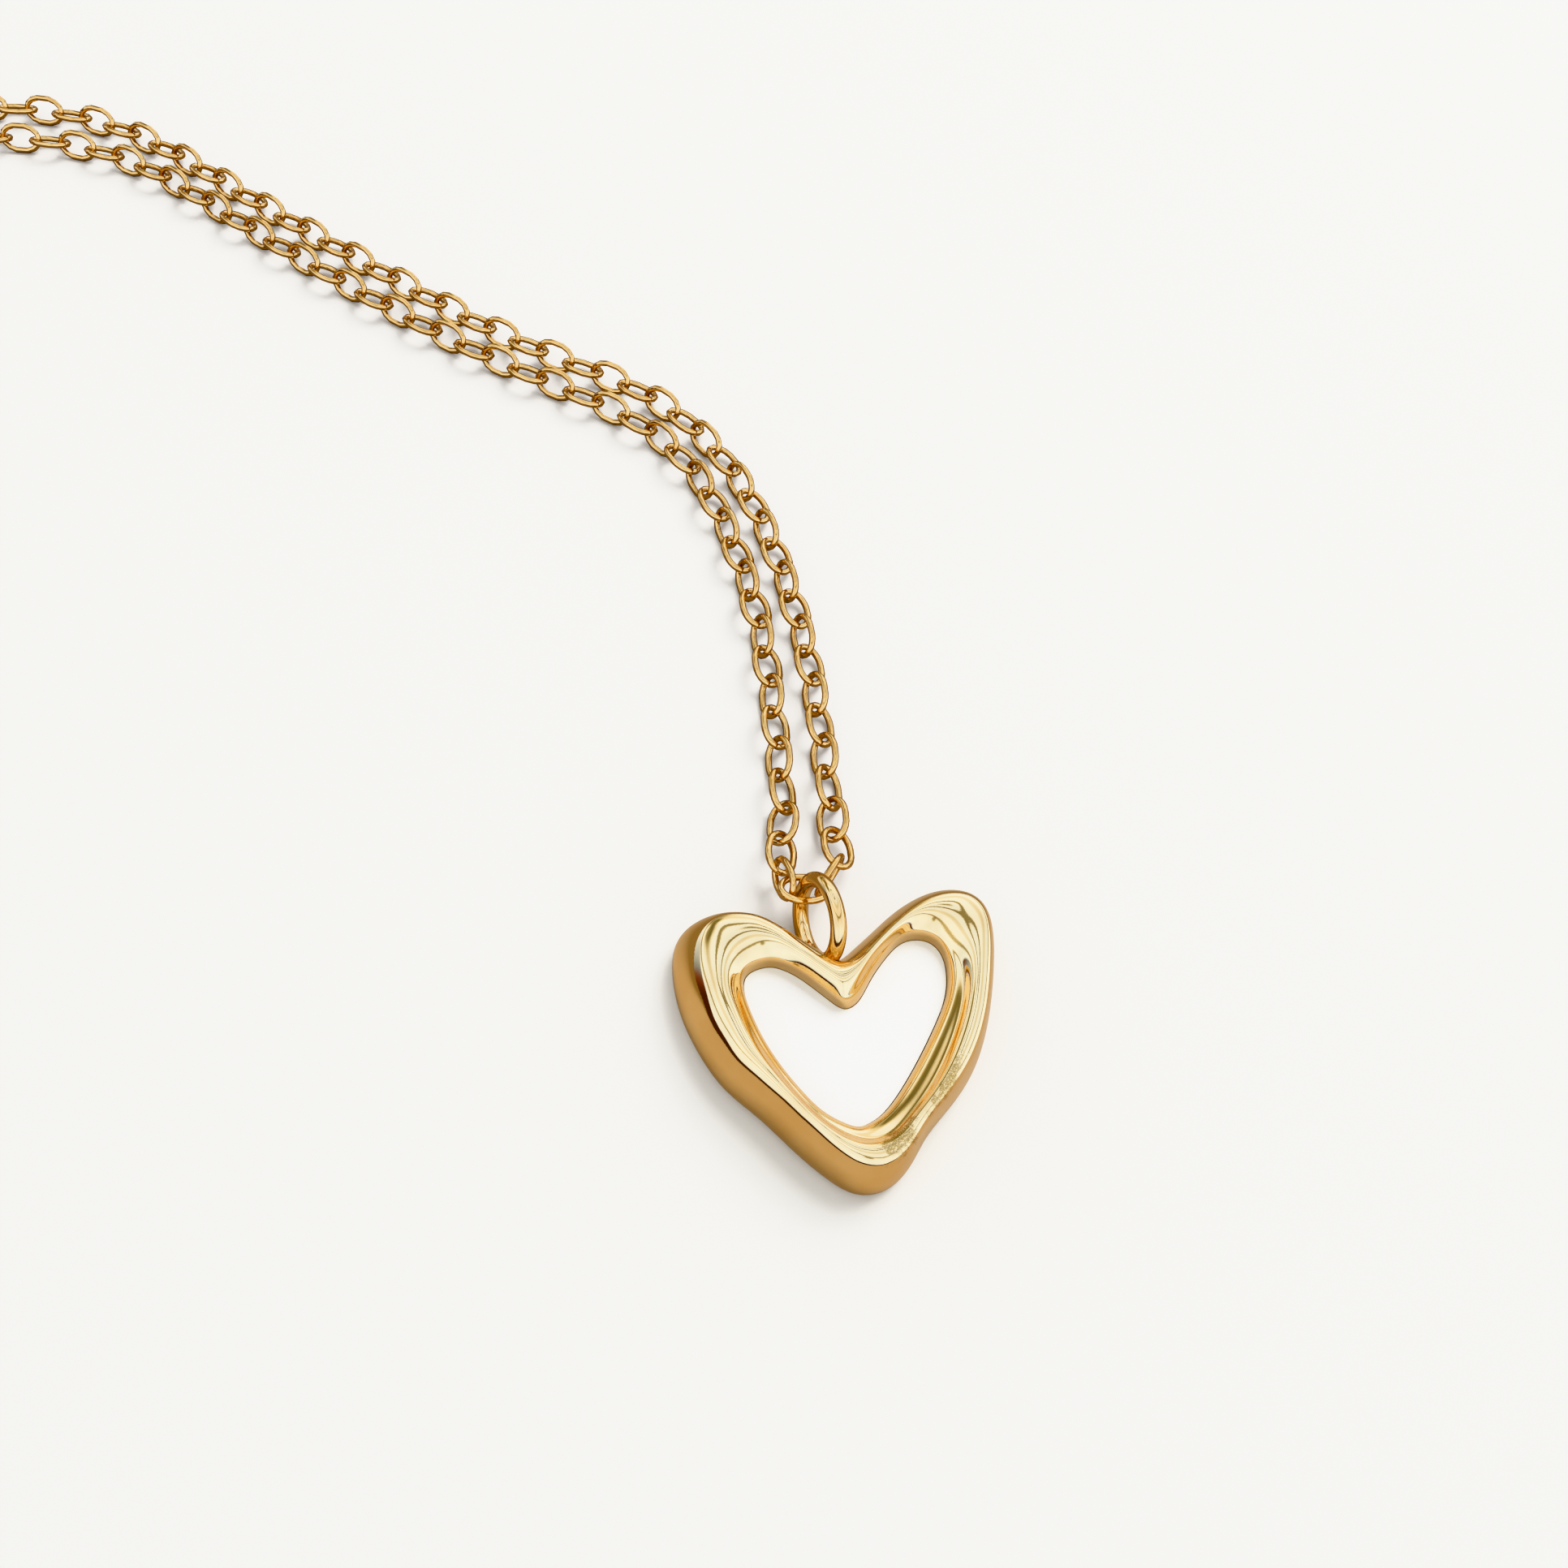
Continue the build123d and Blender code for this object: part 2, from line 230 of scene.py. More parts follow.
class HeartSizes(bpy.types.PropertyGroup):
    """Sizes of the heart frame and its window."""
    width: length("Width", "Width of the heart", 0.0169)
    height: length("Height", "Height of the heart from tip to lobes", 0.0153)
    thickness: length("Thickness", "Thickness from the flat back to the front", 0.0036)
    back_plate: length("Back plate", "Thickness of the closed back", 0.0011)
    rim_height: length("Rim height", "Height of the rim round the window", 0.00295)
    back_inset: length("Back inset", "How far the round back edge reaches in", 0.001)
    edge_bulge: length("Edge bulge", "How far the wall bulges past the outline", 0.00004)
    window_width: length("Window width", "Width of the window", 0.0104)
    window_height: length("Window height", "Height of the window", 0.0095)
    window_shift: length("Window shift", "How far the window sits to the right", 0.00025)
    row_steps: count("Row steps", "Steps between two rows of the outline", 10)
    section_steps: count("Section steps", "Steps between two points of the section", 6)
    wave: length("Cast waves", "Depth of the soft unevenness of the casting", 0.00002)


class RingSizes(bpy.types.PropertyGroup):
    """Sizes and place of the jump ring."""
    wire: length("Wire", "Thickness of the ring's wire", 0.00085)
    diameter: length("Diameter", "Diameter of the ring's centre line", 0.0042)
    sink: length("Sink", "How far its foot sinks into the cleft", 0.00016)
    side: length("Side", "Place of its foot across the heart", -0.00026, least=-0.01)
    turn: angle("Turn", "Turn about the upright", 11.0)
    lean: angle("Lean", "Lean to the side", 18.0)
    rounds: count("Rounds", "Steps round the ring", 96)
    wire_steps: count("Wire steps", "Steps round its wire", 28)


class InlaySizes(bpy.types.PropertyGroup):
    """Sizes of the white inlay."""
    thickness: length("Thickness", "Thickness of the plate", 0.00075)
    gap: length("Gap", "Depth that the plate starts above the back plate", 0.00005)
    fit: length("Fit", "Gap between the plate's edge and the frame", 0.00001)
    edge: length("Edge", "Rounding of the plate's front edge", 0.00003)


class ChainSizes(bpy.types.PropertyGroup):
    """Sizes of the cable chain and how its links lie."""
    link_length: length("Link length", "Length of a link", 0.003)
    link_width: length("Link width", "Width of a link", 0.00205)
    wire: length("Wire", "Thickness of the links' wire", 0.00038)
    play: length("Play", "Free way between two links", 0.00015)
    even_roll: angle("Even roll", "Roll of every link at the ring", 45.0)
    flat_roll: angle("Flat roll", "Roll of the links that lie flat", 25.0)
    edge_roll: angle("Edge roll", "Roll of the links between them", 60.0)
    flat_drop: length("Flat drop", "How much lower the flat links lie", 0.0001)
    settle_links: count("Settle links", "Links until the rolls are reached", 6)
    fine_steps: count("Fine steps", "Steps round a link that is seen closely", 24)
    fine_wire_steps: count("Fine wire steps", "Steps round its wire", 8)
    plain_steps: count("Plain steps", "Steps round a link far away", 14)
    plain_wire_steps: count("Plain wire steps", "Steps round its wire", 6)
    close_links: count("Close links", "Links of a strand that are seen closely", 16)
    roundness: share("Roundness", "How oval the links are, from straight sides to none", 0.7)
    seed: IntProperty(name="Seed", description="Seed of the links' small differences", default=7)


class ClaspSizes(bpy.types.PropertyGroup):
    """Sizes of the clasp."""
    length: length("Length", "Length over both eyes", 0.0106)
    width: length("Width", "Width of the body", 0.0032)
    height: length("Height", "Height of the body", 0.002)
    round: length("Round", "Rounding of the body's edges", 0.0005)
    eye_hole: length("Eye hole", "Width of an eye's hole", 0.0014)
    eye_rim: length("Eye rim", "Width of an eye's rim", 0.0006)
    eye_thickness: length("Eye thickness", "Thickness of an eye", 0.0004)
    eye_neck: length("Eye neck", "Length of metal between an eye and the body", 0.00035)
    eye_play: length("Eye play", "Free way of a link in an eye", 0.0002)
    heading: angle("Heading", "Direction of the clasp on the surface", 90.0)
    steps: count("Steps", "Steps round the body", 64)
    eye_steps: count("Eye steps", "Steps round an eye", 48)
    hole_steps: count("Hole steps", "Steps round an eye's hole", 40)


class Finishes(bpy.types.PropertyGroup):
    """Colours and polish of the gold and the inlay."""
    gold: colour("Gold", "Colour of the polished heart", (0.85, 0.61, 0.31))
    gold_warm: colour("Warm gold", "Colour of its warmer patches", (0.82, 0.56, 0.26))
    chain_warm: colour("Warm chain gold", "Colour of its darker links", (0.62, 0.33, 0.10))
    rough_gold: colour("Rough gold", "Colour of its rough patches", (0.37, 0.21, 0.05))
    chain_gold: colour("Chain gold", "Colour of the chain's wire", (0.70, 0.41, 0.145))
    white: colour("White", "Colour of the inlay", (0.96, 0.96, 0.955))
    white_shade: colour("White shade", "Colour of its faint clouds", (0.93, 0.93, 0.925))
    # Painted shade: the inlay's colour where the gold mirrors it, darker than its own white
    white_mirrored: colour("White mirrored", "Inlay as the gold mirrors it", (0.62, 0.55, 0.46))
    polish: share("Polish", "Roughness of the polished gold", 0.03)
    wire_polish: share("Wire polish", "Roughness of the ring, the links and the clasp", 0.08)


class Studio(bpy.types.PropertyGroup):
    """Floor, lights and camera."""
    floor_colour: colour("Floor colour", "Colour of the plain floor", (0.84, 0.837, 0.822))
    floor_shade: colour("Floor shade", "Colour of its faint clouds", (0.82, 0.817, 0.802))
    floor_size: length("Floor size", "Width of the floor", 4.0)
    key_power: amount("Key power", "Power of the large soft light", 7.0, min=0.0, unit="POWER")
    key_size: length("Key size", "Width of the large soft light", 0.5)
    sky: amount("Sky", "Strength of the light from all round", 0.85, min=0.0)
    mirrored_sky: amount("Mirrored sky", "Brightness that the gold mirrors", 3.0, min=0.0)
    mirrored_colour: colour("Mirrored colour", "Colour that the gold mirrors", (0.56, 0.71, 1.0))
    # Painted shade: the floor as the gold mirrors it, darker, and darkest behind the heart
    floor_painted_shade: colour("Mirrored floor", "Floor that the gold mirrors", (0.47, 0.385, 0.29))
    floor_painted_shade_behind: colour("Mirrored behind", "The same behind the heart", (0.24, 0.18, 0.11))
    lens: amount("Lens", "Focal length of the camera", 35.4, unit="CAMERA", precision=2)


# Smooth curves and plain meshes

def pulling_points(points):
    """Pulling points whose closed cubic B-spline passes through the given points."""
    ident = np.eye(len(points))
    pull = (4 * ident + np.roll(ident, 1, axis=0) + np.roll(ident, -1, axis=0)) / 6
    return np.linalg.solve(pull, np.array(points, float))


def spline_weights(pulls, steps):
    """Weights of a row of pulling points at the points of their open cubic B-spline."""
    rows = []
    for stretch in range(pulls - 3):
        last = stretch == pulls - 4
        for step in range(steps + last):
            t = step / steps
            row = np.zeros(pulls)
            row[stretch:stretch + 4] = (
                (1 - t) ** 3 / 6,
                (3 * t**3 - 6 * t**2 + 4) / 6,
                (-3 * t**3 + 3 * t**2 + 3 * t + 1) / 6,
                t**3 / 6,
            )
            rows.append(row)
    return np.array(rows)


def closed_spline(points, steps):
    """Points of a closed smooth curve through the given points."""
    pull = pulling_points(points)
    pull = np.vstack([pull[-1:], pull, pull[:2]])
    return (spline_weights(len(pull), steps) @ pull)[:-1]


def open_spline(points, steps):
    """Points of an open smooth curve through the given points."""
    points = np.array(points, float)
    size = len(points)
    rows = np.eye(size)
    for i in range(1, size - 1):
        rows[i, i - 1:i + 2] = (1 / 6, 4 / 6, 1 / 6)
    pull = np.linalg.solve(rows, points)
    pull = np.vstack([2 * pull[0] - pull[1], pull, 2 * pull[-1] - pull[-2]])
    return spline_weights(len(pull), steps) @ pull


def mesh_from(name, points, faces):
    """A smooth mesh of the given points and faces, with its faces outwards."""
    mesh = bpy.data.meshes.new(name)
    mesh.from_pydata([tuple(map(float, point)) for point in points], [], faces)
    bm = bmesh.new()
    bm.from_mesh(mesh)
    bmesh.ops.recalc_face_normals(bm, faces=bm.faces)
    for face in bm.faces:
        face.smooth = True
    bm.to_mesh(mesh)
    bm.free()
    return mesh


def rings_mesh(name, rings, middles=None):
    """A closed mesh over rows of points. It is capped at both ends with a fan to a middle point,
    or goes round to its first row where no middles are given."""
    rows, width = rings.shape[:2]
    points = rings.reshape(-1, 3)
    faces = []
    for row in range(rows if middles is None else rows - 1):
        low = row * width
        high = (row + 1) % rows * width
        for i in range(width):
            j = (i + 1) % width
            faces.append((low + i, low + j, high + j, high + i))
    if middles is not None:
        points = np.vstack([points, middles])
        for row, middle in ((0, rows * width), (rows - 1, rows * width + 1)):
            for i in range(width):
                faces.append((row * width + i, row * width + (i + 1) % width, middle))
    return mesh_from(name, points, faces)


def quarter_round(radius, steps):
    """How far a rounded edge stays back on each of its two sides, from one side to the other."""
    turns = [math.pi / 2 * step / (steps - 1) for step in range(steps)]
    return [(radius * (1 - math.sin(turn)), radius * (1 - math.cos(turn))) for turn in turns]


def new_piece(name, mesh):
    """An object at the origin for a mesh."""
    piece = bpy.data.objects.new(name, mesh)
    bpy.context.scene.collection.objects.link(piece)
    return piece


def baked(piece):
    """Turns a piece's modifiers into its plain mesh."""
    bpy.context.view_layer.update()
    shaped = piece.evaluated_get(bpy.context.evaluated_depsgraph_get())
    mesh = bpy.data.meshes.new_from_object(shaped)
    piece.modifiers.clear()
    piece.data = mesh
    return piece


def joined(piece, other):
    """Fuses another closed piece into a piece."""
    union = piece.modifiers.new("union", "BOOLEAN")
    union.operation = "UNION"
    union.solver = "EXACT"
    union.material_mode = "TRANSFER"
    union.object = other
    baked(piece)
    bpy.data.objects.remove(other)
    return piece


def crease(mesh, degrees):
    """Shades a mesh smooth but for its edges that are sharper than an angle."""
    bm = bmesh.new()
    bm.from_mesh(mesh)
    for face in bm.faces:
        face.smooth = True
    for edge in bm.edges:
        if len(edge.link_faces) == 2:
            edge.smooth = edge.calc_face_angle() < math.radians(degrees)
    bm.to_mesh(mesh)
    bm.free()


# Node trees

class Value:
    """A value in a node tree that takes part in Python's sums."""

    def __init__(self, tree, socket):
        self.tree = tree
        self.socket = socket

    def __add__(self, other):
        return self.tree.maths("ADD", self, other)

    __radd__ = __add__

    def __sub__(self, other):
        return self.tree.maths("SUBTRACT", self, other)

    def __rsub__(self, other):
        return self.tree.maths("SUBTRACT", other, self)

    def __mul__(self, other):
        return self.tree.maths("MULTIPLY", self, other)

    __rmul__ = __mul__

    def __truediv__(self, other):
        return self.tree.maths("DIVIDE", self, other)

    def __rtruediv__(self, other):
        return self.tree.maths("DIVIDE", other, self)

    def __abs__(self):
        return self.tree.maths("ABSOLUTE", self)


class Tree:
    """A node tree in the making."""

    def __init__(self, tree):
        self.tree = tree
        tree.nodes.clear()

    def node(self, kind, settings=None, sockets=None, output=0):
        """Adds a node: first its settings, then the values or links of its sockets."""
        made = self.tree.nodes.new(kind)
        for name, value in (settings or {}).items():
            setattr(made, name, value)
        for name, value in (sockets or {}).items():
            socket = self.socket(made.inputs, name)
            if isinstance(value, Value):
                self.tree.links.new(value.socket, socket)
            else:
                socket.default_value = value
        return None if output is None else Value(self, self.socket(made.outputs, output))

    def surface(self, shader):
        """Ends a material with its shader."""
        self.node("ShaderNodeOutputMaterial", {}, {"Surface": shader}, output=None)

    def named(self, name, kind):
        """A named attribute of the geometry."""
        return self.node("GeometryNodeInputNamedAttribute", {"data_type": kind}, {"Name": name},
                         output="Attribute")

    def maths(self, operation, first, second=0.0):
        """The result of a Math node."""
        return self.node("ShaderNodeMath", {"operation": operation},
                         {"Value": first, "Value_001": second})

    @staticmethod
    def socket(sockets, name):
        """The socket with an identifier or a name, or at a place in the list."""
        if isinstance(name, int):
            return sockets[name]
        for socket in sockets:
            if socket.identifier == name:
                return socket
        return sockets[name]

    def noise(self, where, scale, detail=2.0, roughness=0.5):
        """Soft noise from 0 to 1, with a scale in waves for each metre."""
        return self.node("ShaderNodeTexNoise", {},
                         {"Vector": where, "Scale": scale, "Detail": detail,
                          "Roughness": roughness})

    def between(self, factor, low, high):
        """A colour between two colours."""
        return self.node("ShaderNodeMix", {"data_type": "RGBA"},
                         {"Factor_Float": factor, "A_Color": low, "B_Color": high},
                         output="Result_Color")

    def ranged(self, value, low, high, new_low, new_high):
        """A value moved smoothly from one range to another, and kept inside it."""
        return self.node("ShaderNodeMapRange", {"interpolation_type": "SMOOTHSTEP"},
                         {"Value": value, "From Min": low, "From Max": high,
                          "To Min": new_low, "To Max": new_high})


def rgba(tone):
    """A colour with its full cover."""
    return (tone[0], tone[1], tone[2], 1.0)


def new_finish(name):
    """A material with an empty node tree."""
    material = bpy.data.materials.new(name)
    material.use_nodes = True
    return material, Tree(material.node_tree)


def gold_finish(name, low, high, polish, tone_by_link=False, rough_tone=None):
    """Polished gold: soft patches of warmer colour, wipe marks and a fine grain in the gloss, and
    the rough patches where they have a tone."""
    material, tree = new_finish(name)
    where = tree.node("ShaderNodeTexCoord", output="Object")
    patches = tree.ranged(tree.noise(where, WARM_PATCHES, 3.0), 0.35, 0.68, 0.0, 1.0)
    if tone_by_link:
        tone = tree.node("ShaderNodeAttribute", {"attribute_name": "tone"}, output="Fac")
        patches = patches * 0.5 + tone * 0.5
    base = tree.between(patches, rgba(low), rgba(high))
    wiped = tree.node("ShaderNodeMapping", {"vector_type": "POINT"},
                      {"Vector": where, "Rotation": (0.3, 0.2, 0.7), "Scale": (1.0, 6.0, 1.0)})
    marks = tree.noise(wiped, WIPE_MARKS, 4.0, 0.6)
    roughness = polish + 0.03 * tree.ranged(marks, 0.45, 0.75, 0.0, 1.0) + 0.015 * patches
    relief = tree.noise(where, FINE_GRAIN, 2.0) * 0.25 + tree.noise(where, SOFT_DENTS, 2.0) * 0.75
    if rough_tone is not None:
        inside = 0.0
        for x, y, z, heading, *halves in ROUGH_PATCHES:
            placed = tree.node("ShaderNodeMapping", {"vector_type": "TEXTURE"},
                               {"Vector": where, "Location": Vector((x, y, z)) * MM,
                                "Rotation": (0.0, 0.0, math.radians(heading)),
                                "Scale": Vector(halves) * MM})
            away = tree.node("ShaderNodeVectorMath", {"operation": "LENGTH"},
                             {"Vector": placed}, output="Value")
            ragged = away + 2.6 * (tree.noise(where, RAGGED_EDGE, 4.0, 0.65) - 0.5)
            inside = tree.maths("MAXIMUM", inside, tree.ranged(ragged, 0.55, 1.0, 1.0, 0.0))
        specks = tree.ranged(tree.noise(where, ROUGH_SPECKS, 3.0, 0.7), 0.36, 0.54, 0.15, 1.0)
        specks = specks * inside
        base = tree.between(specks * 0.85, base, rgba(rough_tone))
        roughness = roughness + 0.22 * specks
        relief = relief + specks * 0.8
    bump = tree.node("ShaderNodeBump", {}, {"Strength": 0.12, "Distance": 0.00002,
                                            "Height": relief}, output="Normal")
    shader = tree.node("ShaderNodeBsdfPrincipled", {},
                       {"Base Color": base, "Metallic": 1.0, "Roughness": roughness,
                        "Normal": bump}, output="BSDF")
    tree.surface(shader)
    return material


def inlay_finish(name, white, shade, mirrored):
    """Smooth white enamel with faint clouds and a glossy front; the gold mirrors it in a deeper
    tone, which is painted shade.
    """
    material, tree = new_finish(name)
    where = tree.node("ShaderNodeTexCoord", output="Object")
    clouds = tree.ranged(tree.noise(where, ENAMEL_CLOUDS, 4.0, 0.6), 0.4, 0.7, 0.0, 1.0)
    base = tree.between(clouds, rgba(white), rgba(shade))
    # Painted shade: rays mirrored by the gold see the inlay in the darker colour
    base = tree.between(tree.node("ShaderNodeLightPath", output="Is Glossy Ray"), base,
                        rgba(mirrored))
    specks = tree.ranged(tree.noise(where, ENAMEL_SPECKS, 2.0), 0.6, 0.8, 0.0, 1.0)
    bump = tree.node("ShaderNodeBump", {}, {"Strength": 0.1, "Distance": 0.00001,
                                            "Height": tree.noise(where, ENAMEL_DENTS, 3.0)},
                     output="Normal")
    shader = tree.node("ShaderNodeBsdfPrincipled", {},
                       {"Base Color": base, "Roughness": 0.22 + 0.1 * clouds + 0.08 * specks,
                        "Normal": bump}, output="BSDF")
    tree.surface(shader)
    return material


def floor_finish(name, tone, shade, mirrored, behind):
    """Plain pale matt floor; the gold mirrors it in a deeper tone, deepest behind the heart, which
    is painted shade.
    """
    material, tree = new_finish(name)
    where = tree.node("ShaderNodeTexCoord", output="Object")
    faint = tree.noise(where, FLOOR_CLOUDS, 2.0)
    base = tree.between(faint * 0.3, rgba(tone), rgba(shade))
    # Painted shade: rays mirrored by the gold see the floor darker, darkest behind the heart
    back = tree.node("ShaderNodeSeparateXYZ", {}, {"Vector": where}, output="Y")
    painted_shade_mirrored = tree.between(tree.ranged(back, 0.005, 0.014, 0.0, 1.0), rgba(mirrored), rgba(behind))
    base = tree.between(tree.node("ShaderNodeLightPath", output="Is Glossy Ray"), base, painted_shade_mirrored)
    tree.surface(tree.node("ShaderNodeBsdfPrincipled", {},
                           {"Base Color": base, "Roughness": 0.8, "Specular IOR Level": 0.0},
                           output="BSDF"))
    return material


def link_tree(material):
    """A Geometry Nodes tree that puts a link of round wire on every point of a mesh, turned by the
    point's own turn, with more steps where the point is marked as close."""
    group = bpy.data.node_groups.new("cable_links", "GeometryNodeTree")
    sockets = {"Geometry": "NodeSocketGeometry"}
    for name in ("Link length", "Link width", "Wire", "Roundness"):
        sockets[name] = "NodeSocketFloat"
    for name in ("Fine steps", "Fine wire steps", "Plain steps", "Plain wire steps", "Seed"):
        sockets[name] = "NodeSocketInt"
    for name, kind in sockets.items():
        group.interface.new_socket(name, in_out="INPUT", socket_type=kind)
    group.interface.new_socket("Geometry", in_out="OUTPUT", socket_type="NodeSocketGeometry")
    tree = Tree(group)
    tree.node("NodeGroupInput")
    given = {name: Value(tree, group.nodes[0].outputs[name]) for name in sockets}
    radius = (given["Link width"] - given["Wire"]) * 0.5
    extra = (given["Link length"] - given["Link width"]) * 0.5

    def link(steps, wire_steps):
        """One link, with its steps round the link and round its wire."""
        circle = tree.node("GeometryNodeCurvePrimitiveCircle", {"mode": "RADIUS"},
                           {"Resolution": given[steps], "Radius": radius}, output="Curve")
        place = tree.node("ShaderNodeSeparateXYZ", {},
                          {"Vector": tree.node("GeometryNodeInputPosition")}, output="X")
        pulled = place / radius * given["Roundness"]
        pulled = pulled + tree.maths("SIGN", place) * (1.0 - given["Roundness"])
        apart = tree.node("ShaderNodeCombineXYZ", {}, {"X": pulled * extra})
        oval = tree.node("GeometryNodeSetPosition", {}, {"Geometry": circle, "Offset": apart})
        wire = tree.node("GeometryNodeCurvePrimitiveCircle", {"mode": "RADIUS"},
                         {"Resolution": given[wire_steps], "Radius": given["Wire"] * 0.5},
                         output="Curve")
        return tree.node("GeometryNodeCurveToMesh", {}, {"Curve": oval, "Profile Curve": wire})

    turn = tree.node("FunctionNodeEulerToRotation", {},
                     {"Euler": tree.named("turn", "FLOAT_VECTOR")})
    close = tree.node("FunctionNodeCompare", {"data_type": "FLOAT", "operation": "GREATER_THAN"},
                      {"A": tree.named("close", "FLOAT"), "B": 0.5})
    far = tree.node("FunctionNodeBooleanMath", {"operation": "NOT"}, {0: close})
    both = tree.node("GeometryNodeJoinGeometry")
    for marked, steps, wire_steps in ((close, "Fine steps", "Fine wire steps"),
                                      (far, "Plain steps", "Plain wire steps")):
        placed = tree.node("GeometryNodeInstanceOnPoints", {},
                           {"Points": given["Geometry"], "Selection": marked,
                            "Instance": link(steps, wire_steps), "Rotation": turn})
        group.links.new(placed.socket, both.socket.node.inputs[0])
    tone = tree.node("FunctionNodeRandomValue", {"data_type": "FLOAT"}, {"Seed": given["Seed"]},
                     output="Value_001")
    toned = tree.node("GeometryNodeStoreNamedAttribute",
                      {"data_type": "FLOAT", "domain": "INSTANCE"},
                      {"Geometry": both, "Name": "tone", "Value": tone})
    solid = tree.node("GeometryNodeRealizeInstances", {}, {"Geometry": toned})
    smooth = tree.node("GeometryNodeSetShadeSmooth", {}, {"Geometry": solid, "Shade Smooth": True})
    finished = tree.node("GeometryNodeSetMaterial", {}, {"Geometry": smooth, "Material": material})
    tree.node("NodeGroupOutput", {}, {"Geometry": finished}, output=None)
    return group


# Where things lie

def ring_place(heart, ring):
    """Middle, normal and direction of the jump ring, and the top of its wire on the plan."""
    turned = Matrix.Rotation(ring.turn, 3, "Z")
    along = turned @ Vector((0, 1, 0))
    across = turned @ Vector((1, 0, 0))
    foot = Vector((ring.side, heart.height / 2 * OUTLINE[0][1] - ring.sink, 0))
    lift = ring.diameter / 2 * math.cos(ring.lean) + ring.wire / 2
    middle = foot + along * ring.diameter / 2 + Vector((0, 0, lift))
    normal = across * math.cos(ring.lean) - Vector((0, 0, math.sin(ring.lean)))
    return middle, normal, along, foot + along * ring.diameter


def strand_places(ring_links, route, chain, top):
    """Place and turn of every link of a strand: the links at the ring, then those on its route."""
    places = []
    for x, y, z, heading, slope, roll in ring_links:
        place = (top.x + x * MM, top.y + y * MM, z * MM)
        places.append((place, tuple(map(math.radians, (roll, -slope, heading)))))
    curve = open_spline(route, ROUTE_STEPS) * MM + np.array(top.xy)
    reach = np.concatenate([[0.0], np.cumsum(np.linalg.norm(np.diff(curve, axis=0), axis=1))])
    pitch = chain.link_length - 2 * chain.wire - chain.play
    number = 2 * round(reach[-1] / pitch / 2)
    along = np.linspace(0.0, reach[-1], number + 1)
    joints = np.stack([np.interp(along, reach, curve[:, axis]) for axis in (0, 1)], axis=1)
    half_cross = (chain.link_width - chain.wire) / 2
    for k, (a, b) in enumerate(zip(joints, joints[1:])):
        settled = min(1.0, k / chain.settle_links)
        leaning = chain.even_roll + (chain.edge_roll - chain.even_roll) * settled
        height = half_cross * math.sin(leaning) + chain.wire / 2
        roll = -leaning
        if k % 2 == 0:
            roll = chain.even_roll + (chain.flat_roll - chain.even_roll) * settled
            height -= chain.flat_drop * settled
        x, y = (a + b) / 2
        heading = math.atan2(b[1] - a[1], b[0] - a[0])
        places.append(((x, y, height), (roll, 0.0, heading)))
    return places


def clasp_place(clasp, top):
    """Middle of the clasp and the two places on it where the strands end."""
    middle = top + Vector((CLASP_PLACE[0], CLASP_PLACE[1], 0)) * MM
    along = Vector((math.cos(clasp.heading), math.sin(clasp.heading), 0))
    eye = clasp.length / 2 - clasp.eye_hole / 2 - clasp.eye_rim
    reach = along * (eye + clasp.eye_hole / 2 - clasp.eye_play)
    return middle, middle - reach, middle + reach


# The pieces

def band_sections(heart):
    """Points of the band's surface: a row for each place round the heart, from back to seat."""
    places = closed_spline(OUTLINE, heart.row_steps)
    edge = places[:, 0:2] * (heart.width / 2, heart.height / 2)
    window = places[:, 2:4] * (heart.window_width / 2, heart.window_height / 2)
    window = window + (heart.window_shift, 0.0)
    band = np.linalg.norm(window - edge, axis=1)
    inward = (window - edge) / band[:, None]
    shoulder, rim = places[:, 4], places[:, 5]
    well = heart.rim_height - heart.back_plate
    across = [np.full_like(band, heart.back_inset * part) for part, _ in BACK]
    across += [band * shoulder * part - heart.edge_bulge for part, _ in WALL]
    across += [band * (shoulder + (rim - shoulder) * part) for part, _ in FACE]
    across += [band * (rim + (1.0 - rim) * part) for part, _ in WELL]
    heights = [heart.thickness * part for _, part in BACK + WALL + FACE]
    heights += [heart.back_plate + well * part for _, part in WELL]
    weights = spline_weights(len(across), heart.section_steps)
    across = np.stack(across, axis=1) @ weights.T
    heights = weights @ np.array(heights)
    plan = edge[:, None, :] + inward[:, None, :] * across[:, :, None]
    return np.dstack([plan, np.broadcast_to(heights, across.shape)])


def cast_waves(surface, heart):
    """Sinks the front and walls a little here and there, as a cast and polished band does."""
    x, y = surface[:, :, 0] / MM, surface[:, :, 1] / MM

    def ripple(right, up, start):
        """A wave with its turns for each millimetre to the right and up, and its start."""
        return np.sin(right * x + up * y + start)

    waves = ripple(1.5, 0.6, 0.4) * ripple(-0.5, 1.1, 1.3) + 0.5 * ripple(2.9, -1.7, 2.1)
    raised = np.clip(surface[:, :, 2] / heart.thickness - 0.1, 0.0, 1.0)
    surface[:, :, 2] -= heart.wave * (1.5 + waves) * raised
    return surface


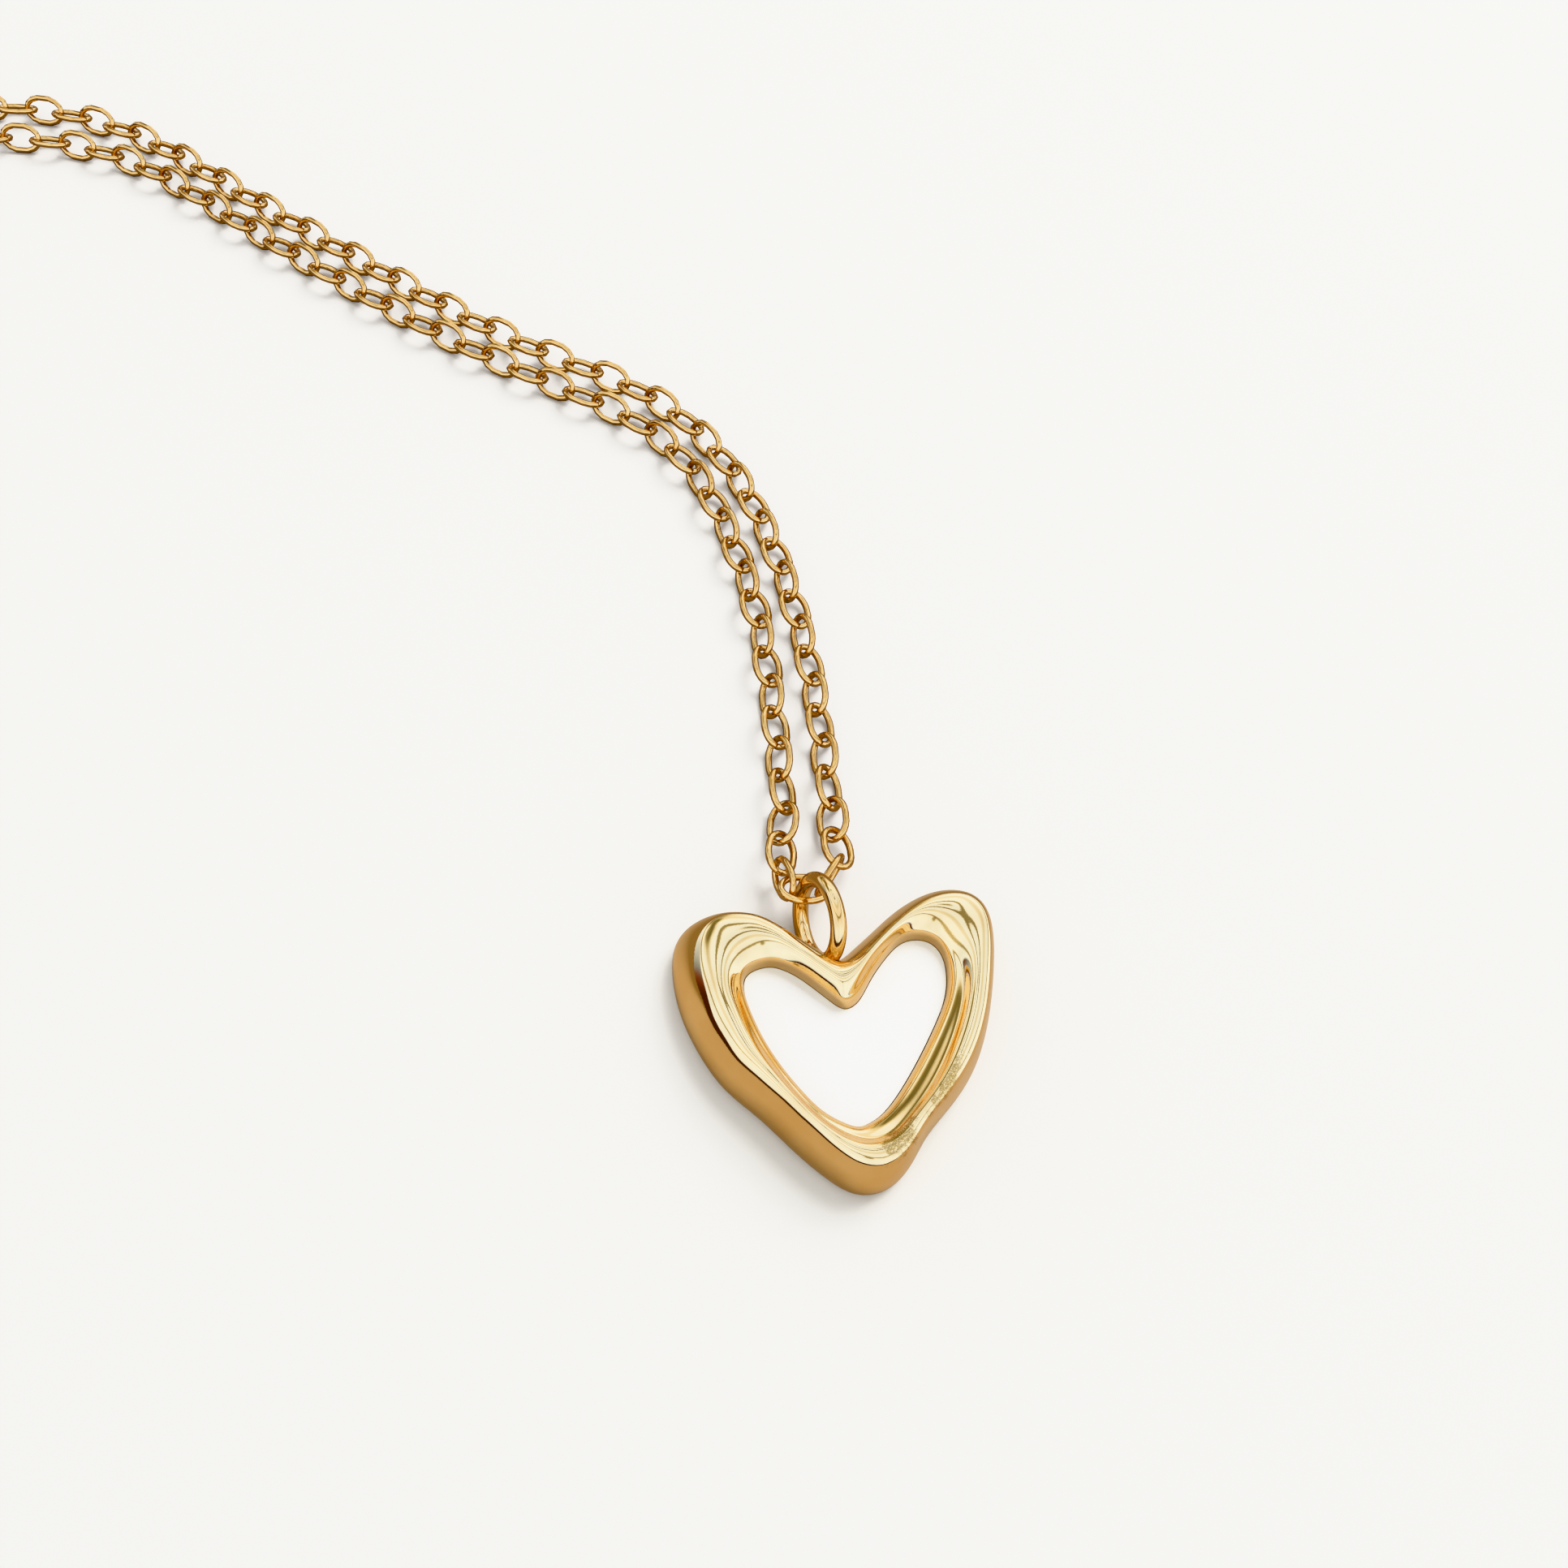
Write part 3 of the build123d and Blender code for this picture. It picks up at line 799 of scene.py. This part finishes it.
class NECKLACE_OT_heart(bpy.types.Operator):
    """Makes the heart frame with its soldered jump ring"""
    bl_idname = "necklace.heart"
    bl_label = "Heart frame"

    def execute(self, context):
        scene = context.scene
        heart, ring, finishes = scene.heart_sizes, scene.ring_sizes, scene.finishes
        surface = cast_waves(band_sections(heart), heart)
        rows = surface.transpose(1, 0, 2)
        middles = [(0.0, FACE_MIDDLE, rows[0, 0, 2]),
                   (heart.window_shift, FACE_MIDDLE, rows[-1, 0, 2])]
        frame_piece = new_piece("heart_body", rings_mesh("heart_body", rows, middles))
        frame_piece.data.materials.append(gold_finish("polished_gold", finishes.gold,
                                                      finishes.gold_warm, finishes.polish,
                                                      rough_tone=finishes.rough_gold))
        middle, normal, along, _ = ring_place(heart, ring)
        side = normal.cross(along)
        turns = np.arange(ring.rounds) * 2 * math.pi / ring.rounds
        wire = np.arange(ring.wire_steps) * 2 * math.pi / ring.wire_steps
        out = np.outer(np.cos(turns), along) + np.outer(np.sin(turns), side)
        reach = ring.diameter / 2 + ring.wire / 2 * np.cos(wire)
        tube = out[:, None, :] * reach[None, :, None]
        tube = tube + np.array(normal) * (ring.wire / 2 * np.sin(wire))[None, :, None]
        loop = new_piece("jump_ring", rings_mesh("jump_ring", tube + np.array(middle)))
        loop.data.materials.append(gold_finish("ring_gold", finishes.gold_warm,
                                               finishes.chain_gold, finishes.wire_polish))
        joined(frame_piece, loop)
        crease(frame_piece.data, degrees=38.0)
        frame_piece.name = "heart_with_ring"
        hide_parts("heart_frame")
        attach(frame_piece, "root")
        return {"FINISHED"}


class NECKLACE_OT_inlay(bpy.types.Operator):
    """Makes the white inlay in the heart's window"""
    bl_idname = "necklace.inlay"
    bl_label = "White inlay"

    def execute(self, context):
        scene = context.scene
        heart, inlay, finishes = scene.heart_sizes, scene.inlay_sizes, scene.finishes
        outline = band_sections(heart)[:, -1, :2]
        run = np.roll(outline, -1, axis=0) - np.roll(outline, 1, axis=0)
        inward = np.stack([run[:, 1], -run[:, 0]], axis=1)
        inward /= np.linalg.norm(inward, axis=1)[:, None]
        base = heart.back_plate + inlay.gap
        top = base + inlay.thickness
        rows = [(inlay.fit + inlay.edge, base), (inlay.fit, base + inlay.edge)]
        rows += [(inlay.fit + inset, top - drop)
                 for drop, inset in quarter_round(inlay.edge, steps=6)]
        rings = [np.column_stack([outline + inward * inset, np.full(len(outline), height)])
                 for inset, height in rows]
        middles = [(heart.window_shift, FACE_MIDDLE, base), (heart.window_shift, FACE_MIDDLE, top)]
        mesh = rings_mesh("white_inlay", np.array(rings), middles)
        crease(mesh, degrees=50.0)
        mesh.materials.append(inlay_finish("white_enamel", finishes.white, finishes.white_shade,
                                           finishes.white_mirrored))
        piece = new_piece("white_inlay", mesh)
        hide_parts("inlay")
        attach(piece, "root")
        return {"FINISHED"}


class NECKLACE_OT_chain(bpy.types.Operator):
    """Makes the two strands of the cable chain"""
    bl_idname = "necklace.chain"
    bl_label = "Cable chain"

    def execute(self, context):
        scene = context.scene
        chain, finishes = scene.chain_sizes, scene.finishes
        top = ring_place(scene.heart_sizes, scene.ring_sizes)[3]
        _, left_end, right_end = clasp_place(scene.clasp_sizes, top)
        gold = gold_finish("chain_gold", finishes.chain_gold, finishes.chain_warm,
                           finishes.wire_polish, tone_by_link=True)
        tree = link_tree(gold)
        strands = (("chain_left", LEFT_RING_LINKS, LEFT_ROUTE, left_end),
                   ("chain_right", RIGHT_RING_LINKS, RIGHT_ROUTE, right_end))
        for node, ring_links, route, end in strands:
            last = ((end.x - top.x) / MM, (end.y - top.y) / MM)
            places = strand_places(ring_links, [*route, last], chain, top)
            mesh = bpy.data.meshes.new(node + "_wire")
            mesh.from_pydata([place for place, _ in places], [], [])
            turn = mesh.attributes.new("turn", "FLOAT_VECTOR", "POINT")
            turn.data.foreach_set("vector", [part for _, turned in places for part in turned])
            close = mesh.attributes.new("close", "FLOAT", "POINT")
            close.data.foreach_set("value", [float(i < chain.close_links)
                                             for i in range(len(places))])
            strand = new_piece(node + "_links", mesh)
            nodes = strand.modifiers.new("links", "NODES")
            nodes.node_group = tree
            # Each input of the tree carries the name of its size
            for item in tree.interface.items_tree:
                if item.in_out == "INPUT" and item.name != "Geometry":
                    size = item.name.lower().replace(" ", "_")
                    nodes[item.identifier] = getattr(chain, size)
            baked(strand)
            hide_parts(node)
            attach(strand, "root")
        return {"FINISHED"}


class NECKLACE_OT_clasp(bpy.types.Operator):
    """Makes the plain clasp that closes the chain"""
    bl_idname = "necklace.clasp"
    bl_label = "Clasp"

    def execute(self, context):
        scene = context.scene
        clasp, finishes = scene.clasp_sizes, scene.finishes
        top = ring_place(scene.heart_sizes, scene.ring_sizes)[3]
        middle, _, _ = clasp_place(clasp, top)
        eye_radius = clasp.eye_hole / 2 + clasp.eye_rim
        eye_offset = clasp.length / 2 - eye_radius
        half_body = eye_offset - clasp.eye_hole / 2 - clasp.eye_neck
        half_width = clasp.width / 2
        rows = quarter_round(clasp.round, steps=7)
        rows += [(inset, clasp.height - height) for inset, height in reversed(rows)]
        turns = (np.arange(clasp.steps) + 0.5) * 2 * math.pi / clasp.steps
        ends = np.sign(np.cos(turns)) * (half_body - half_width)
        rings = []
        for inset, height in rows:
            reach = half_width - inset
            rings.append(np.column_stack([np.cos(turns) * reach + ends, np.sin(turns) * reach,
                                          np.full(clasp.steps, height)]))
        body = new_piece("clasp_body", rings_mesh("clasp_body", np.array(rings),
                                                  [(0, 0, 0), (0, 0, clasp.height)]))
        plate = self.eye_plate(clasp, eye_radius, eye_offset)
        joined(body, plate)
        place = Matrix.Translation(middle) @ Matrix.Rotation(clasp.heading, 4, "Z")
        body.data.transform(place)
        crease(body.data, degrees=35.0)
        body.data.materials.clear()
        body.data.materials.append(gold_finish("clasp_gold", finishes.chain_gold,
                                               finishes.chain_warm, finishes.wire_polish))
        body.name = "clasp_with_eyes"
        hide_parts("clasp")
        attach(body, "root")
        return {"FINISHED"}

    @staticmethod
    def eye_plate(clasp, eye_radius, eye_offset):
        """The flat plate with a round eye at each end, at the height of the chain's last links."""
        chain = bpy.context.scene.chain_sizes
        height = (chain.link_width - chain.wire) / 2 * math.sin(chain.edge_roll) + chain.wire / 2
        half_neck = clasp.eye_neck + clasp.eye_hole / 2
        corner = math.asin(half_neck / eye_radius)
        turns = np.linspace(-math.pi + corner, math.pi - corner, clasp.eye_steps)
        arc = np.column_stack([np.cos(turns), np.sin(turns)]) * eye_radius + (eye_offset, 0.0)
        hole = np.linspace(0, 2 * math.pi, clasp.hole_steps, endpoint=False)
        hole = np.column_stack([np.cos(hole), np.sin(hole)]) * clasp.eye_hole / 2
        curve = bpy.data.curves.new("eye_plate", "CURVE")
        curve.dimensions = "2D"
        curve.fill_mode = "BOTH"
        for points in (np.vstack([arc, -arc]), hole + (eye_offset, 0.0), hole - (eye_offset, 0.0)):
            line = curve.splines.new("POLY")
            line.points.add(len(points) - 1)
            for point, (x, y) in zip(line.points, points):
                point.co = (x, y, 0.0, 1.0)
            line.use_cyclic_u = True
        curve.extrude = clasp.eye_thickness / 2
        outline = new_piece("eye_outline", curve)
        bpy.context.view_layer.update()
        mesh = bpy.data.meshes.new_from_object(outline)
        bpy.data.objects.remove(outline)
        mesh.transform(Matrix.Translation((0, 0, height)))
        bm = bmesh.new()
        bm.from_mesh(mesh)
        bmesh.ops.remove_doubles(bm, verts=bm.verts, dist=1e-7)
        bmesh.ops.recalc_face_normals(bm, faces=bm.faces)
        bm.to_mesh(mesh)
        bm.free()
        return new_piece("eye_plate", mesh)


class NECKLACE_OT_stage(bpy.types.Operator):
    """Makes the floor, the soft light and the camera"""
    bl_idname = "necklace.stage"
    bl_label = "Stage"

    def execute(self, context):
        scene = context.scene
        studio = scene.studio
        half = studio.floor_size / 2
        corners = [(-half, -half, 0), (half, -half, 0), (half, half, 0), (-half, half, 0)]
        mesh = bpy.data.meshes.new("floor")
        mesh.from_pydata(corners, [], [(0, 1, 2, 3)])
        mesh.materials.append(floor_finish("pale_floor", studio.floor_colour, studio.floor_shade,
                                           studio.floor_painted_shade, studio.floor_painted_shade_behind))
        floor = new_piece("floor", mesh)
        floor.location.z = -FLOOR_DROP
        self.soft_light("key_light", studio.key_power, studio.key_size, KEY_PLACE)
        self.sky_light(studio)
        self.photo_camera(studio)
        scene.view_settings.view_transform = "Khronos PBR Neutral"
        return {"FINISHED"}

    @staticmethod
    def soft_light(name, power, size, place):
        """A large square area light that looks at the pendant."""
        light = bpy.data.lights.new(name, "AREA")
        light.shape = "SQUARE"
        light.size = size
        light.energy = power
        lamp = new_piece(name, light)
        lamp.location = place
        lamp.rotation_euler = Vector(place).to_track_quat("Z", "Y").to_euler()
        lamp.visible_glossy = False

    @staticmethod
    def sky_light(studio):
        """Light from all round, which is plain but for what the gold mirrors: a bright cool panel
        above with dark gaps in it, and a dark strip along one side of the horizon."""
        world = bpy.data.worlds.new("soft_room")
        bpy.context.scene.world = world
        world.use_nodes = True
        tree = Tree(world.node_tree)
        look = tree.node("ShaderNodeTexCoord", output="Generated")

        def toward(x, y, z):
            """How far the look points in a direction, from -1 to 1."""
            return tree.node("ShaderNodeVectorMath", {"operation": "DOT_PRODUCT"},
                             {"Vector": look, "Vector_001": Vector((x, y, z)).normalized()},
                             output="Value")

        tall = toward(0, 0, 1)
        gaps = 1.0
        for right, back, radius, half, tone in DARK_GAPS:
            tilt = math.hypot(right, back)
            flat = math.sin(math.radians(tilt)) / tilt
            away = tree.maths("ARCCOSINE", toward(right * flat, back * flat,
                                                  math.cos(math.radians(tilt))))
            off = abs(away - math.radians(radius))
            gaps = gaps * tree.ranged(off, math.radians(half * 0.5), math.radians(half * 1.5),
                                      tone, 1.0)
        side = tree.ranged(toward(*BRIGHT_SIDE), -0.45, 0.35, 0.0, 1.0)
        height = tree.ranged(toward(0, 1, 0), -0.4, 0.4, 0.12, 0.34)
        lifted = tree.ranged(tall - height, 0.0, 0.10, 0.0, 1.0)
        edge = side + (1.0 - side) * lifted
        clouds = tree.ranged(tree.noise(look, 1.7, 1.0), 0.3, 0.7, 0.72, 1.12)
        mirrored = (STRIP_LIGHT + (studio.mirrored_sky - STRIP_LIGHT) * edge) * gaps * clouds
        glossy = tree.node("ShaderNodeLightPath", output="Is Glossy Ray")
        seen = tree.node("ShaderNodeLightPath", output="Is Camera Ray")
        strength = studio.sky * (1.0 - glossy - seen) + mirrored * glossy + SEEN_LIGHT * seen
        lit = tree.ranged(edge, 0.0, 0.18, 0.0, 1.0)
        cool = tree.between(lit, STRIP_TINT, rgba(studio.mirrored_colour))
        cool = tree.between(gaps, GAP_TINT, cool)
        tone = tree.between(glossy, ROOM_TINT, cool)
        back = tree.node("ShaderNodeBackground", {}, {"Color": tone, "Strength": strength})
        tree.node("ShaderNodeOutputWorld", {}, {"Surface": back}, output=None)

    @staticmethod
    def photo_camera(studio):
        """The camera, at the place and angle from which the necklace was seen."""
        right = Vector(CAMERA_RIGHT)
        forward = Vector(CAMERA_FORWARD)
        up = right.cross(forward)
        roll = math.radians(CAMERA_ROLL)
        right, up = (right * math.cos(roll) + up * math.sin(roll),
                     up * math.cos(roll) - right * math.sin(roll))
        data = bpy.data.cameras.new("camera")
        data.lens = studio.lens
        data.sensor_width = 36.0
        data.clip_start = 0.001
        camera = new_piece("camera", data)
        turned = Matrix((right, up, -forward)).transposed().to_4x4()
        camera.matrix_world = Matrix.Translation(CAMERA_PLACE) @ turned
        bpy.context.scene.camera = camera


class NECKLACE_PT_panel(bpy.types.Panel):
    """Lists the pieces and their sizes in the sidebar"""
    bl_idname = "NECKLACE_PT_panel"
    bl_label = "Heart Pendant Necklace"
    bl_space_type = "VIEW_3D"
    bl_region_type = "UI"
    bl_category = "Necklace"

    def draw(self, context):
        for operator, groups in PIECES:
            box = self.layout.box()
            box.operator(operator.bl_idname)
            for group in groups:
                sizes = getattr(context.scene, group)
                for name in sizes.__annotations__:
                    box.prop(sizes, name)


GROUPS = {
    "heart_sizes": HeartSizes,
    "ring_sizes": RingSizes,
    "inlay_sizes": InlaySizes,
    "chain_sizes": ChainSizes,
    "clasp_sizes": ClaspSizes,
    "finishes": Finishes,
    "studio": Studio,
}

PIECES = [
    (NECKLACE_OT_heart, ("heart_sizes", "ring_sizes", "finishes")),
    (NECKLACE_OT_inlay, ("inlay_sizes",)),
    (NECKLACE_OT_chain, ("chain_sizes",)),
    (NECKLACE_OT_clasp, ("clasp_sizes",)),
    (NECKLACE_OT_stage, ("studio",)),
]


def register():
    """Registers the sizes, the operators and the panel."""
    for name, group in GROUPS.items():
        bpy.utils.register_class(group)
        setattr(bpy.types.Scene, name, PointerProperty(type=group))
    for operator, _ in PIECES:
        bpy.utils.register_class(operator)
    bpy.utils.register_class(NECKLACE_PT_panel)


def unregister():
    """Removes what register added."""
    bpy.utils.unregister_class(NECKLACE_PT_panel)
    for operator, _ in PIECES:
        bpy.utils.unregister_class(operator)
    for name, group in GROUPS.items():
        delattr(bpy.types.Scene, name)
        bpy.utils.unregister_class(group)


def main():
    """Registers the classes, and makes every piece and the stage."""
    register()
    bpy.ops.necklace.heart()
    bpy.ops.necklace.inlay()
    bpy.ops.necklace.chain()
    bpy.ops.necklace.clasp()
    bpy.ops.necklace.stage()


if __name__ == "__main__":
    main()
